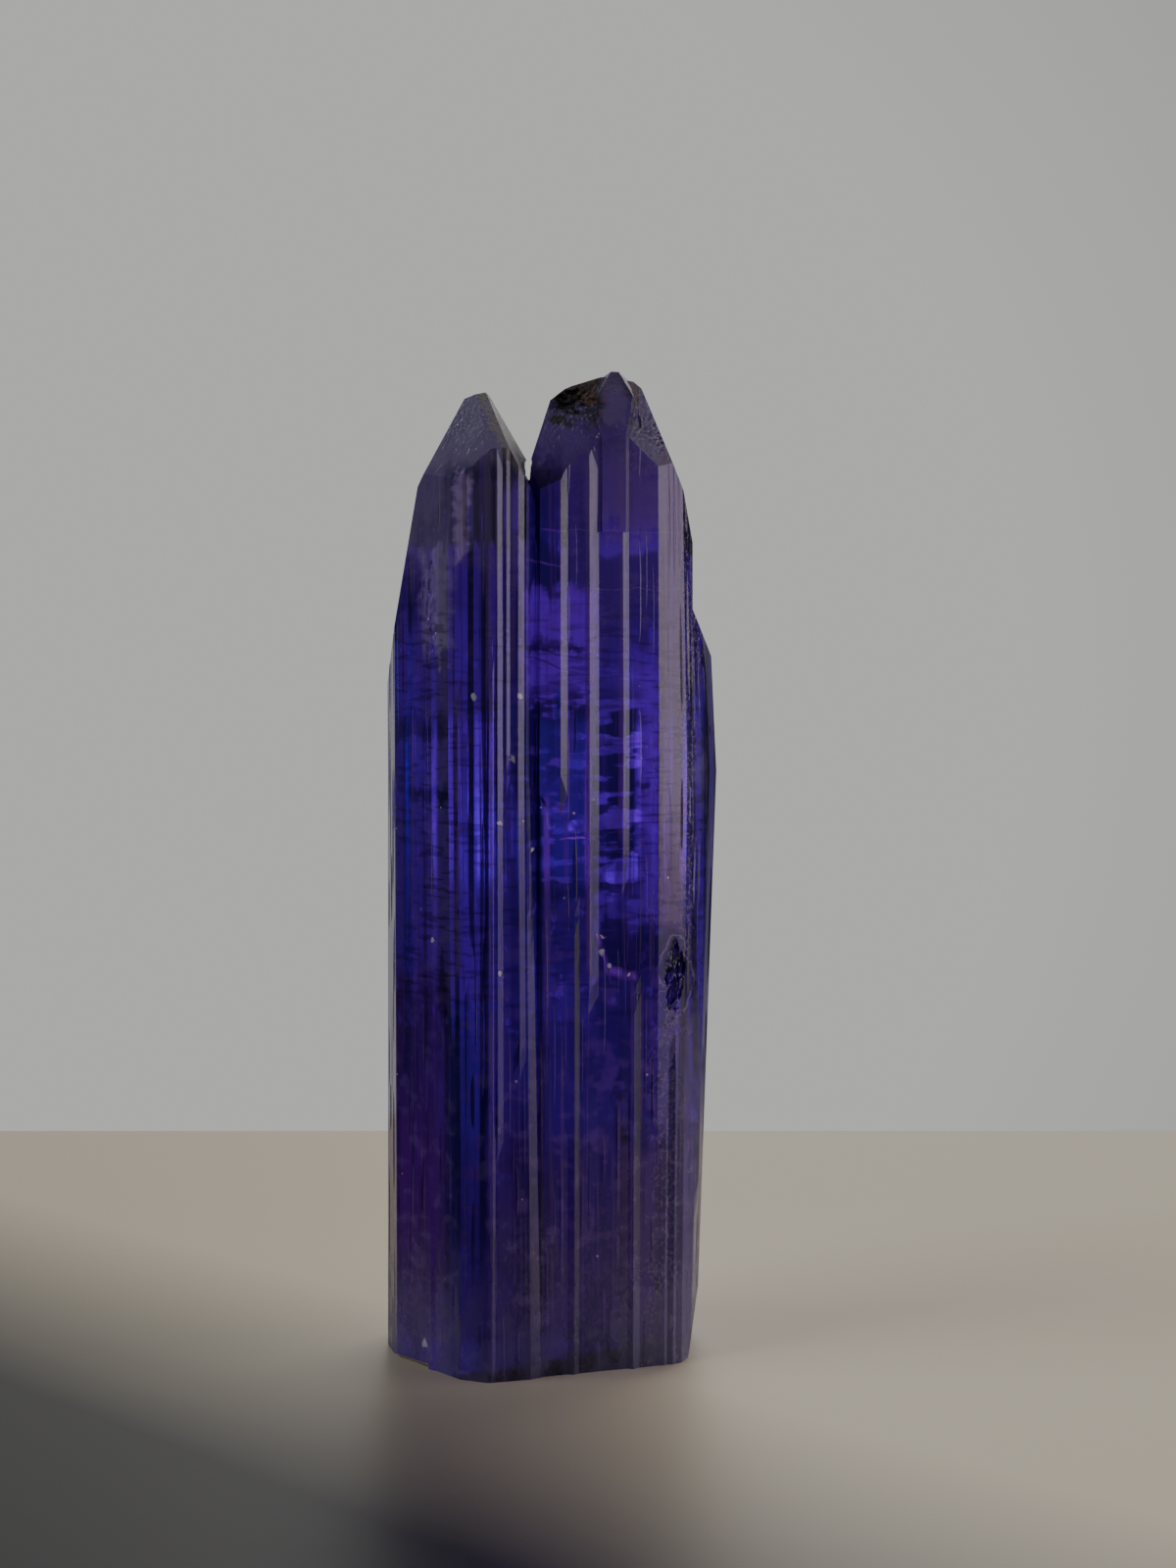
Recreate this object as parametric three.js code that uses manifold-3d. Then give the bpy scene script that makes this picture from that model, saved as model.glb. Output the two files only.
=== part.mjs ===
// A natural tanzanite crystal: two striated prisms of unequal width that grew side by side into one
// piece, parted only at the tips by a notch. Millimetres, +Z up, -Y towards the viewer, resting on z = 0.
import * as THREE from "three";
import { mergeVertices, toCreasedNormals } from "three/addons/utils/BufferGeometryUtils.js";
import Module from "manifold-3d";

const wasm = await Module();
wasm.setup();

// Driving dimensions
const HEIGHT = 50; // base to the top of the taller tip
const MIDDLE = 30; // the level where the pair is widest
const OVERSHOOT = 3; // how far a prism runs past its tip before the tip's faces cut it
const RING_LEVELS = [0, 2.5, 6, 10, 14, 18, 20, 22, 26, MIDDLE, 34, 38, 42, 46, HEIGHT + OVERSHOOT];
const FADE = 2.2; // height over which a growth step dies out at its ends
const STEP_SLOPE = 0.46; // how far a growth step stands out, for each millimetre of its width
const LEAST_SHARE = 0.05; // what is left of a step's height where it has died out
const CREASE = 12; // degrees between two faces from which the edge between them looks sharp
const FAR = 80; // side of a block that stands for all the space outside one face

// A prism's corners run anticlockwise seen from above, from the front edge beside the groove.
// Each has its place at the base, at the middle and at the top level.
const LEFT_PRISM = {
  corners: [
    { base: [-3.1, -5.9], middle: [-3.0, -5.85], top: [-3.0, -5.8] },
    { base: [-1.0, -5.35], middle: [-1.2, -5.4], top: [-1.15, -5.3] },
    { base: [-0.5, -5.0], middle: [-0.95, -4.97], top: [-0.9, -4.87] },
    { base: [0.2, -3.0], middle: [0.2, -3.0], top: [0.2, -3.0] },
    { base: [-0.6, 3.4], middle: [-0.6, 3.4], top: [-0.6, 3.2] },
    { base: [-2.3, 5.2], middle: [-2.3, 5.2], top: [-2.2, 4.9] },
    { base: [-5.8, 5.0], middle: [-6.0, 4.8], top: [-6.0, 4.6] },
    { base: [-8.3, 2.8], middle: [-8.2, 2.7], top: [-8.2, 2.6] },
    { base: [-8.62, 0.5], middle: [-8.5, 0.4], top: [-8.5, 0.4] },
    { base: [-7.95, -1.7], middle: [-7.95, -1.7], top: [-7.95, -1.7] },
    { base: [-4.5, -5.35], middle: [-4.7, -5.3], top: [-4.7, -5.2] },
  ],
  // Growth steps by face: where the step is along the face, its width, and the heights it spans
  steps: {
    0: [
      { at: 0.14, width: 0.16, from: 0, to: 36 },
      { at: 0.3, width: 0.3, from: 12, to: 46 },
      { at: 0.52, width: 0.2, from: 30, to: 47 },
      { at: 0.86, width: 0.34, from: 16, to: 47 },
    ],
    5: [
      { at: 0.22, width: 0.3, from: -9, to: 30 },
      { at: 0.55, width: 0.42, from: 8, to: 60 },
      { at: 0.85, width: 0.28, from: -9, to: 60 },
    ],
    6: [{ at: 0.5, width: 0.36, from: -9, to: 35 }],
    9: [
      { at: 0.22, width: 0.16, from: 14, to: 33 },
      { at: 0.6, width: 0.2, from: -9, to: 10 },
      { at: 0.95, width: 0.24, from: 18, to: 42 },
    ],
    10: [
      { at: 0.16, width: 0.18, from: 4, to: 34 },
      { at: 0.32, width: 0.24, from: 20, to: 47 },
      { at: 0.66, width: 0.26, from: 22, to: 46 },
    ],
  },
};
const RIGHT_PRISM = {
  corners: [
    { base: [-0.55, -4.95], middle: [-0.55, -4.9], top: [-0.5, -4.8] },
    { base: [5.3, -3.15], middle: [5.4, -3.25], top: [5.3, -3.3] },
    { base: [6.6, -2.6], middle: [6.85, -2.0], top: [6.5, -2.1] },
    { base: [7.1, -1.4], middle: [7.8, -0.8], top: [7.1, -0.9] },
    { base: [7.5, 0.7], middle: [8.5, 0.9], top: [7.55, 0.9] },
    { base: [7.4, 3.2], middle: [8.0, 3.4], top: [7.3, 3.2] },
    { base: [4.6, 5.4], middle: [5.2, 5.7], top: [5.0, 5.5] },
    { base: [0.2, 5.8], middle: [0.2, 6.0], top: [0.2, 5.8] },
    { base: [-1.7, 5.2], middle: [-1.7, 5.2], top: [-1.6, 5.0] },
    { base: [-2.4, 3.2], middle: [-2.4, 3.2], top: [-2.4, 3.0] },
    { base: [-2.5, -2.6], middle: [-2.5, -2.6], top: [-2.5, -2.6] },
    { base: [-1.35, -4.1], middle: [-1.35, -4.1], top: [-1.3, -4.0] },
  ],
  steps: {
    0: [
      { at: 0.2, width: 0.42, from: 29, to: 45.5 },
      { at: 0.31, width: 0.3, from: -9, to: 23 },
      { at: 0.45, width: 0.55, from: 19, to: 46 },
      { at: 0.72, width: 0.36, from: 25, to: 47 },
      { at: 0.82, width: 0.4, from: -9, to: 19 },
    ],
    1: [
      { at: 0.35, width: 0.2, from: -9, to: 12 },
      { at: 0.7, width: 0.22, from: -9, to: 16 },
    ],
    3: [{ at: 0.3, width: 0.24, from: 8, to: 36 }],
    5: [{ at: 0.4, width: 0.4, from: -9, to: 60 }],
    6: [
      { at: 0.15, width: 0.44, from: -9, to: 38 },
      { at: 0.38, width: 0.34, from: 6, to: 60 },
      { at: 0.6, width: 0.5, from: -9, to: 60 },
      { at: 0.84, width: 0.36, from: -9, to: 44 },
    ],
  },
};
// The rib that stands at the front of the right tip, between two of its growth steps
const RIB = {
  corners: [
    { base: [2.5, -4.35], middle: [2.5, -4.35], top: [2.55, -4.1] },
    { base: [3.75, -4.1], middle: [3.75, -4.1], top: [3.7, -3.9] },
    { base: [4.2, -3.2], middle: [4.2, -3.2], top: [4.1, -3.2] },
    { base: [3.9, -0.4], middle: [3.9, -0.4], top: [3.8, -0.6] },
    { base: [2.4, -0.4], middle: [2.4, -0.4], top: [2.5, -0.6] },
    { base: [2.1, -3.6], middle: [2.1, -3.6], top: [2.3, -3.5] },
  ],
  steps: {},
  levels: [42, 44, 46, HEIGHT + OVERSHOOT],
};

// A face turns its outer side to a bearing (0 is the front, 90 the right), dips from level
// by an angle (90 is upright, more looks down), and passes through a point.
const LEFT_TIP = [
  { name: "front", bearing: 6, dip: 43, through: [-3.4, -2.6, 48.9] },
  { name: "front left", bearing: -42, dip: 60, through: [-4.9, -3.2, 46.9] },
  { name: "crest", bearing: -110, dip: 16, through: [-3.6, -2.3, 48.95] },
  { name: "left, low", bearing: -90, dip: 79.2, through: [-7.36, 0, 40.5] },
  { name: "left, high", bearing: -88, dip: 62.5, through: [-5.04, -1, 47.5] },
  { name: "inner", bearing: 84, dip: 62.7, through: [-2.2, 0, 47.5] },
  { name: "back", bearing: 176, dip: 49, through: [-4.0, -1.4, 49.0] },
  { name: "back left", bearing: -132, dip: 62, through: [-5.9, 1.6, 44.8] },
];
const RIGHT_TIP = [
  { name: "front", bearing: -6, dip: 67, through: [1.0, -4.45, 45.3] },
  { name: "front right", bearing: 38, dip: 67, through: [5.0, -3.1, 46.1] },
  { name: "crest", bearing: -128, dip: 22, through: [2.5, -2.6, 49.75] },
  { name: "summit", bearing: 180, dip: 8, through: [3.2, -2.6, 49.75] },
  { name: "inner, low", bearing: -88, dip: 72.3, through: [-0.55, -1, 47.2] },
  { name: "inner, high", bearing: -85, dip: 38, through: [0.95, -1, 49.5] },
  { name: "right, low", bearing: 90, dip: 79, through: [6.82, 0, 43.3] },
  { name: "right, high", bearing: 88, dip: 67.5, through: [5.6, 0, 46.9] },
  { name: "right crest", bearing: 84, dip: 40, through: [4.4, -1, 49.5] },
  { name: "back", bearing: 178, dip: 60, through: [2.5, 2.0, 47.8] },
  { name: "back right", bearing: 138, dip: 66, through: [5.9, 3.6, 43.6] },
];
const RIB_TIP = [
  { name: "front", bearing: 4, dip: 72, through: [3.1, -3.95, 46.9] },
  { name: "crest", bearing: 172, dip: 14, through: [3.2, -2.95, HEIGHT] },
  { name: "crest left", bearing: -70, dip: 58, through: [2.7, -2.9, 49.6] },
  { name: "crest right", bearing: 75, dip: 58, through: [3.6, -2.9, 49.65] },
];
// Each ledge takes away what lies outside all of its faces.
const LEDGES = [
  {
    name: "set-back high on the right side",
    faces: [
      { bearing: 90, dip: 90, through: [7.14, 0, 39] },
      { bearing: 88, dip: 67, through: [7.14, 0, 38.4] },
    ],
  },
  {
    name: "chip under the left front edge",
    faces: [
      { bearing: -44, dip: 158, through: [-5.3, -4.2, 0.15] },
      { bearing: -46, dip: 118, through: [-4.7, -4.8, 0] },
      { bearing: -90, dip: 90, through: [-6.2, 0, 0] },
    ],
  },
  {
    name: "worn foot of the right side",
    faces: [{ bearing: 88, dip: 100, through: [7.0, -1, 0] }],
  },
];
// Scooped breaks: the centre and the half sizes of the rounded hollow, and its turn about the upright
const HOLLOWS = [
  { name: "foot of the notch between the tips", at: [-1.14, 0, 45.55], half: [0.24, 8, 0.95], turn: 0 },
  { name: "broken pocket in the right band", at: [6.45, -3.0, 19.6], half: [0.95, 0.75, 2.3], turn: 42 },
  { name: "cloudy cleavage scar", at: [-6.2, -4.15, 38.2], half: [0.8, 0.5, 2.5], turn: -46 },
  { name: "stained pocket on the right tip", at: [0.95, -3.2, 48.75], half: [1.15, 0.5, 0.95], turn: -6 },
  { name: "rough pocket right of the rib", at: [4.6, -3.0, 48.3], half: [0.55, 0.55, 1.0], turn: 26 },
  { name: "scar low on the back", at: [3.2, 6.3, 12], half: [1.5, 0.75, 2.6], turn: 8 },
];

const lerp = THREE.MathUtils.lerp;
const radians = THREE.MathUtils.degToRad;

// A corner's place at height z
function cornerAt(corner, z) {
  const [low, high, share] =
    z < MIDDLE
      ? [corner.base, corner.middle, z / MIDDLE]
      : [corner.middle, corner.top, (z - MIDDLE) / (HEIGHT - MIDDLE)];
  return new THREE.Vector2(lerp(low[0], high[0], share), lerp(low[1], high[1], share));
}

// 1 where a growth step is whole, falling to 0 over FADE at its ends
function strength(step, z) {
  const inside = Math.min(z - step.from, step.to - z);
  return THREE.MathUtils.smoothstep(inside, -FADE / 2, FADE / 2);
}

// The prism's outline at height z: its corners, and two points for each growth step. The first stands
// out from the face and the second lies on it, so that each step has a narrow side that looks right.
function outlineAt(prism, z) {
  const corners = prism.corners.map((corner) => cornerAt(corner, z));
  return corners.flatMap((corner, i) => {
    const along = corners[(i + 1) % corners.length].clone().sub(corner);
    const length = along.length();
    along.normalize();
    const out = new THREE.Vector2(along.y, -along.x);
    const points = [corner];
    for (const step of prism.steps[i] ?? []) {
      const height = step.width * STEP_SLOPE * Math.max(strength(step, z), LEAST_SHARE);
      const middle = step.at * length;
      const proud = corner.clone().addScaledVector(along, middle - step.width / 2);
      points.push(proud.addScaledVector(out, height));
      points.push(corner.clone().addScaledVector(along, middle + step.width / 2));
    }
    return points;
  });
}

// A closed surface through the prism's outlines, one above the other
function prismGeometry(prism) {
  const levels = prism.levels ?? RING_LEVELS;
  const rings = levels.map((z) => outlineAt(prism, z));
  const count = rings[0].length;
  const positions = rings.flatMap((ring, k) => ring.flatMap((p) => [p.x, p.y, levels[k]]));
  const faces = [];
  for (let k = 0; k + 1 < rings.length; k++) {
    for (let i = 0; i < count; i++) {
      const a = k * count + i;
      const b = k * count + ((i + 1) % count);
      faces.push(a, b, b + count, a, b + count, a + count);
    }
  }
  for (const [a, b, c] of THREE.ShapeUtils.triangulateShape(rings[0], [])) faces.push(a, c, b);
  const last = (rings.length - 1) * count;
  for (const [a, b, c] of THREE.ShapeUtils.triangulateShape(rings.at(-1), [])) {
    faces.push(last + a, last + b, last + c);
  }
  const geometry = new THREE.BufferGeometry();
  geometry.setAttribute("position", new THREE.Float32BufferAttribute(positions, 3));
  geometry.setIndex(faces);
  return geometry;
}

function solidOf(geometry) {
  const plain = geometry.clone();
  plain.deleteAttribute("normal");
  plain.deleteAttribute("uv");
  const merged = mergeVertices(plain, 1e-4);
  return new wasm.Manifold(
    new wasm.Mesh({
      numProp: 3,
      vertProperties: new Float32Array(merged.attributes.position.array),
      triVerts: new Uint32Array(merged.index.array),
    }),
  );
}

function geometryOf(solid) {
  const mesh = solid.getMesh();
  const geometry = new THREE.BufferGeometry();
  geometry.setAttribute("position", new THREE.BufferAttribute(mesh.vertProperties, 3));
  geometry.setIndex(new THREE.BufferAttribute(mesh.triVerts, 1));
  return toCreasedNormals(geometry, radians(CREASE));
}

// All the space outside one face, as a block
function outside(face) {
  const bearing = radians(face.bearing);
  const dip = radians(face.dip);
  const normal = new THREE.Vector3(
    Math.sin(bearing) * Math.sin(dip),
    -Math.cos(bearing) * Math.sin(dip),
    Math.cos(dip),
  );
  const block = new THREE.BoxGeometry(FAR, FAR, FAR);
  block.translate(0, 0, FAR / 2);
  block.applyQuaternion(new THREE.Quaternion().setFromUnitVectors(new THREE.Vector3(0, 0, 1), normal));
  block.translate(...face.through);
  return solidOf(block);
}

function hollow({ at, half, turn }) {
  const lump = new THREE.IcosahedronGeometry(1, 2);
  lump.scale(...half);
  lump.rotateZ(radians(turn));
  lump.translate(...at);
  return solidOf(lump);
}

// Moved sideways so that the bounding box stands over the origin
function centred(geometry) {
  geometry.computeBoundingBox();
  const middle = geometry.boundingBox.getCenter(new THREE.Vector3());
  return geometry.translate(-middle.x, -middle.y, 0);
}

const cutBy = (solid, faces) => faces.reduce((left, face) => left.subtract(outside(face)), solid);

function tanzaniteCrystal() {
  const left = cutBy(solidOf(prismGeometry(LEFT_PRISM)), LEFT_TIP);
  const right = cutBy(solidOf(prismGeometry(RIGHT_PRISM)), RIGHT_TIP);
  const rib = cutBy(solidOf(prismGeometry(RIB)), RIB_TIP);
  let crystal = left.add(right);
  for (const { faces } of LEDGES) {
    crystal = crystal.subtract(faces.map(outside).reduce((all, block) => all.intersect(block)));
  }
  for (const scoop of HOLLOWS) crystal = crystal.subtract(hollow(scoop));
  crystal = crystal.add(rib);
  const geometry = centred(geometryOf(crystal));
  const violet = new THREE.MeshStandardMaterial({ color: 0x2f1f78, roughness: 0.22, metalness: 0 });
  const mesh = new THREE.Mesh(geometry, violet);
  mesh.name = "tanzanite_crystal";
  return mesh;
}

const specimen = new THREE.Group();
specimen.add(tanzaniteCrystal());

export default specimen;
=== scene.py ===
"""A natural tanzanite crystal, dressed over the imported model: two striated prisms grown side by side.

Lengths in this script are in millimetres until a mesh is finished, and then in metres.
"""

import math

import bmesh
import bpy
from mathutils import Matrix, Vector, noise


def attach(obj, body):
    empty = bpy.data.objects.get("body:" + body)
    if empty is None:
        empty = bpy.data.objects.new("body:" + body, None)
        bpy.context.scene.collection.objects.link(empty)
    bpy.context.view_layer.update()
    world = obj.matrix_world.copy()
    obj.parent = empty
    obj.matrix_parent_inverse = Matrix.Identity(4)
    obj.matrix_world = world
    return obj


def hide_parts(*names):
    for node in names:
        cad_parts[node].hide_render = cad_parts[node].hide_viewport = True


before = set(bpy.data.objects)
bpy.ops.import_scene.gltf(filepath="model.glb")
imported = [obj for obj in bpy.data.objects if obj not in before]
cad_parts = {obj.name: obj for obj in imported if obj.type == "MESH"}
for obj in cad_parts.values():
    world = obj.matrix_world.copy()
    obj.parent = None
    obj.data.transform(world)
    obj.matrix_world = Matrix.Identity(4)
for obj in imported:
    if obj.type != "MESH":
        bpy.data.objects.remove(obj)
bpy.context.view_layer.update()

# Driving dimensions, the same as the model's
MM = 0.001
HEIGHT = 50.0
MIDDLE = 30.0
OVERSHOOT = 3.0
TOP = HEIGHT + OVERSHOOT
RING_SPACING = 1.0
FADE = 2.2
STEP_SLOPE = 0.46
LEAST_SHARE = 0.05
CENTRING = Vector((0.06, -0.0945, 0.0))
BLOCK = 80.0

# A corner's place at the base, at the middle and at the top level, anticlockwise from above
LEFT_CORNERS = [
    ((-3.1, -5.9), (-3.0, -5.85), (-3.0, -5.8)),
    ((-1.0, -5.35), (-1.2, -5.4), (-1.15, -5.3)),
    ((-0.5, -5.0), (-0.95, -4.97), (-0.9, -4.87)),
    ((0.2, -3.0), (0.2, -3.0), (0.2, -3.0)),
    ((-0.6, 3.4), (-0.6, 3.4), (-0.6, 3.2)),
    ((-2.3, 5.2), (-2.3, 5.2), (-2.2, 4.9)),
    ((-5.8, 5.0), (-6.0, 4.8), (-6.0, 4.6)),
    ((-8.3, 2.8), (-8.2, 2.7), (-8.2, 2.6)),
    ((-8.62, 0.5), (-8.5, 0.4), (-8.5, 0.4)),
    ((-7.95, -1.7), (-7.95, -1.7), (-7.95, -1.7)),
    ((-4.5, -5.35), (-4.7, -5.3), (-4.7, -5.2)),
]
RIGHT_CORNERS = [
    ((-0.55, -4.95), (-0.55, -4.9), (-0.5, -4.8)),
    ((5.3, -3.15), (5.4, -3.25), (5.3, -3.3)),
    ((6.6, -2.6), (6.85, -2.0), (6.5, -2.1)),
    ((7.1, -1.4), (7.8, -0.8), (7.1, -0.9)),
    ((7.5, 0.7), (8.5, 0.9), (7.55, 0.9)),
    ((7.4, 3.2), (8.0, 3.4), (7.3, 3.2)),
    ((4.6, 5.4), (5.2, 5.7), (5.0, 5.5)),
    ((0.2, 5.8), (0.2, 6.0), (0.2, 5.8)),
    ((-1.7, 5.2), (-1.7, 5.2), (-1.6, 5.0)),
    ((-2.4, 3.2), (-2.4, 3.2), (-2.4, 3.0)),
    ((-2.5, -2.6), (-2.5, -2.6), (-2.5, -2.6)),
    ((-1.35, -4.1), (-1.35, -4.1), (-1.3, -4.0)),
]
RIB_CORNERS = [
    ((2.5, -4.35), (2.5, -4.35), (2.55, -4.1)),
    ((3.75, -4.1), (3.75, -4.1), (3.7, -3.9)),
    ((4.2, -3.2), (4.2, -3.2), (4.1, -3.2)),
    ((3.9, -0.4), (3.9, -0.4), (3.8, -0.6)),
    ((2.4, -0.4), (2.4, -0.4), (2.5, -0.6)),
    ((2.1, -3.6), (2.1, -3.6), (2.3, -3.5)),
]
# Growth steps by face: share of the way along the face, width, lowest and highest level
LEFT_STEPS = {
    0: [(0.14, 0.16, 0, 36), (0.3, 0.3, 12, 46), (0.52, 0.2, 30, 47), (0.86, 0.34, 16, 47)],
    5: [(0.22, 0.3, -9, 30), (0.55, 0.42, 8, 60), (0.85, 0.28, -9, 60)],
    6: [(0.5, 0.36, -9, 35)],
    9: [(0.22, 0.16, 14, 33), (0.6, 0.2, -9, 10), (0.95, 0.24, 18, 42)],
    10: [(0.16, 0.18, 4, 34), (0.32, 0.24, 20, 47), (0.66, 0.26, 22, 46)],
}
RIGHT_STEPS = {
    0: [
        (0.2, 0.42, 29, 45.5),
        (0.31, 0.3, -9, 23),
        (0.45, 0.55, 19, 46),
        (0.72, 0.36, 25, 47),
        (0.82, 0.4, -9, 19),
    ],
    1: [(0.35, 0.2, -9, 12), (0.7, 0.22, -9, 16)],
    3: [(0.3, 0.24, 8, 36)],
    5: [(0.4, 0.4, -9, 60)],
    6: [(0.15, 0.44, -9, 38), (0.38, 0.34, 6, 60), (0.6, 0.5, -9, 60), (0.84, 0.36, -9, 44)],
}

# Faces of the tips: bearing (0 front, 90 right), dip from level, and a point on the face
LEFT_TIP = [
    (6, 43, (-3.4, -2.6, 48.9)),
    (-42, 60, (-4.9, -3.2, 46.9)),
    (-110, 16, (-3.6, -2.3, 48.95)),
    (-90, 79.2, (-7.36, 0, 40.5)),
    (-88, 62.5, (-5.04, -1, 47.5)),
    (84, 62.7, (-2.2, 0, 47.5)),
    (176, 49, (-4.0, -1.4, 49.0)),
    (-132, 62, (-5.9, 1.6, 44.8)),
]
RIGHT_TIP = [
    (-6, 67, (1.0, -4.45, 45.3)),
    (38, 67, (5.0, -3.1, 46.1)),
    (-128, 22, (2.5, -2.6, 49.75)),
    (180, 8, (3.2, -2.6, 49.75)),
    (-88, 72.3, (-0.55, -1, 47.2)),
    (-85, 38, (0.95, -1, 49.5)),
    (90, 79, (6.82, 0, 43.3)),
    (88, 67.5, (5.6, 0, 46.9)),
    (84, 40, (4.4, -1, 49.5)),
    (178, 60, (2.5, 2.0, 47.8)),
    (138, 66, (5.9, 3.6, 43.6)),
]
RIB_TIP = [
    (4, 72, (3.1, -3.95, 46.9)),
    (172, 14, (3.2, -2.95, HEIGHT)),
    (-70, 58, (2.7, -2.9, 49.6)),
    (75, 58, (3.6, -2.9, 49.65)),
]
# What lies outside all the faces of a ledge is taken away
LEDGES = [
    [(90, 90, (7.14, 0, 39)), (88, 67, (7.14, 0, 38.4))],
    [(-44, 158, (-5.3, -4.2, 0.15)), (-46, 118, (-4.7, -4.8, 0)), (-90, 90, (-6.2, 0, 0))],
    [(88, 100, (7.0, -1, 0))],
]
# Scooped breaks: middle, half sizes, turn about the upright in degrees
SCOOPS = [
    ((-1.14, 0, 45.55), (0.24, 8, 0.95), 0),
    ((6.5, -2.95, 19.9), (0.75, 0.75, 2.0), 42),
    ((6.3, -3.1, 18.4), (0.7, 0.55, 1.1), 42),
    ((-6.2, -4.15, 38.2), (0.8, 0.5, 2.5), -46),
    ((0.95, -3.2, 48.75), (1.15, 0.5, 0.95), -6),
    ((4.6, -3.0, 48.3), (0.55, 0.55, 1.0), 26),
    ((3.2, 6.3, 12), (1.5, 0.75, 2.6), 8),
]


# Meshes

def mesh_of(points, faces):
    """A mesh with its faces pointing outwards."""
    mesh = bpy.data.meshes.new("shape")
    mesh.from_pydata([tuple(point) for point in points], [], faces)
    builder = bmesh.new()
    builder.from_mesh(mesh)
    bmesh.ops.recalc_face_normals(builder, faces=builder.faces)
    builder.to_mesh(mesh)
    builder.free()
    return mesh


def placed(name, mesh):
    """A new object of this mesh, shown in the scene."""
    shape = bpy.data.objects.new(name, mesh)
    bpy.context.scene.collection.objects.link(shape)
    return shape


def settled_mesh(shape):
    """What the object's modifiers make of its mesh."""
    graph = bpy.context.evaluated_depsgraph_get()
    return bpy.data.meshes.new_from_object(shape.evaluated_get(graph))


def combine(body, other, operation):
    """Joins the other solid to the body or takes it away, and uses it up."""
    joint = body.modifiers.new("solid", "BOOLEAN")
    joint.solver = "MANIFOLD"
    joint.operation = operation
    joint.object = other
    result = settled_mesh(body)
    body.modifiers.remove(joint)
    body.data = result
    bpy.data.objects.remove(other)


# The prisms

def corner_at(corner, z):
    base, middle, top = corner
    if z < MIDDLE:
        return Vector(base).lerp(Vector(middle), z / MIDDLE)
    return Vector(middle).lerp(Vector(top), (z - MIDDLE) / (HEIGHT - MIDDLE))


def strength(low, high, z):
    """1 where a growth step is whole, falling to 0 at its ends."""
    inside = min(z - low, high - z)
    share = min(max(inside / FADE + 0.5, 0.0), 1.0)
    return share * share * (3 - 2 * share)


def outline_at(corners, steps, z):
    """The corners, and for each growth step a point that stands proud and one back on the face."""
    points = []
    ring = [corner_at(corner, z) for corner in corners]
    for index, corner in enumerate(ring):
        along = ring[(index + 1) % len(ring)] - corner
        length = along.length
        along.normalize()
        out = Vector((along.y, -along.x))
        points.append(corner)
        for place, width, low, high in steps.get(index, []):
            proud = width * STEP_SLOPE * max(strength(low, high, z), LEAST_SHARE)
            points.append(corner + along * (place * length - width / 2) + out * proud)
            points.append(corner + along * (place * length + width / 2))
    return points


def prism(name, corners, steps, lowest=0.0):
    """A closed solid through the outlines, one above the other."""
    count = round((TOP - lowest) / RING_SPACING)
    levels = [lowest + (TOP - lowest) * k / count for k in range(count + 1)]
    rings = [[(*point, z) for point in outline_at(corners, steps, z)] for z in levels]
    side = len(rings[0])
    faces = [tuple(reversed(range(side)))]
    for k in range(count):
        for i in range(side):
            a, b = k * side + i, k * side + (i + 1) % side
            faces.append((a, b, b + side, a + side))
    faces.append(tuple(range(count * side, (count + 1) * side)))
    points = [point for ring in rings for point in ring]
    body = placed(name, mesh_of(points, faces))
    body.data.materials.append(tanzanite)
    return body


def facing(bearing, dip):
    bearing, dip = math.radians(bearing), math.radians(dip)
    return Vector((math.sin(bearing) * math.sin(dip), -math.cos(bearing) * math.sin(dip), math.cos(dip)))


def outside(face):
    """All the space outside one face, as a block."""
    bearing, dip, through = face
    block = bmesh.new()
    bmesh.ops.create_cube(block, size=BLOCK)
    turn = Vector((0, 0, 1)).rotation_difference(facing(bearing, dip)).to_matrix().to_4x4()
    place = Matrix.Translation(through) @ turn @ Matrix.Translation((0, 0, BLOCK / 2))
    bmesh.ops.transform(block, matrix=place, verts=block.verts)
    mesh = bpy.data.meshes.new("outside")
    block.to_mesh(mesh)
    block.free()
    return placed("outside", mesh)


def cut_by(body, faces):
    for face in faces:
        combine(body, outside(face), "DIFFERENCE")


def lump(at, half, turn, roughness=0.3, fineness=5, seed=0.0):
    """A rounded, slightly uneven ball."""
    ball = bmesh.new()
    bmesh.ops.create_icosphere(ball, subdivisions=fineness, radius=1.0)
    for vert in ball.verts:
        grain = noise.fractal(vert.co * 1.7 + Vector((seed, 0, 0)), 0.6, 2.0, 3)
        vert.co *= 1 + roughness * grain
    shape = Matrix.Diagonal((*half, 1))
    place = Matrix.Translation(at) @ Matrix.Rotation(math.radians(turn), 4, "Z") @ shape
    bmesh.ops.transform(ball, matrix=place, verts=ball.verts)
    mesh = bpy.data.meshes.new("lump")
    ball.to_mesh(mesh)
    ball.free()
    return placed("lump", mesh)


# Fine growth ribs, made by Geometry Nodes

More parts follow.
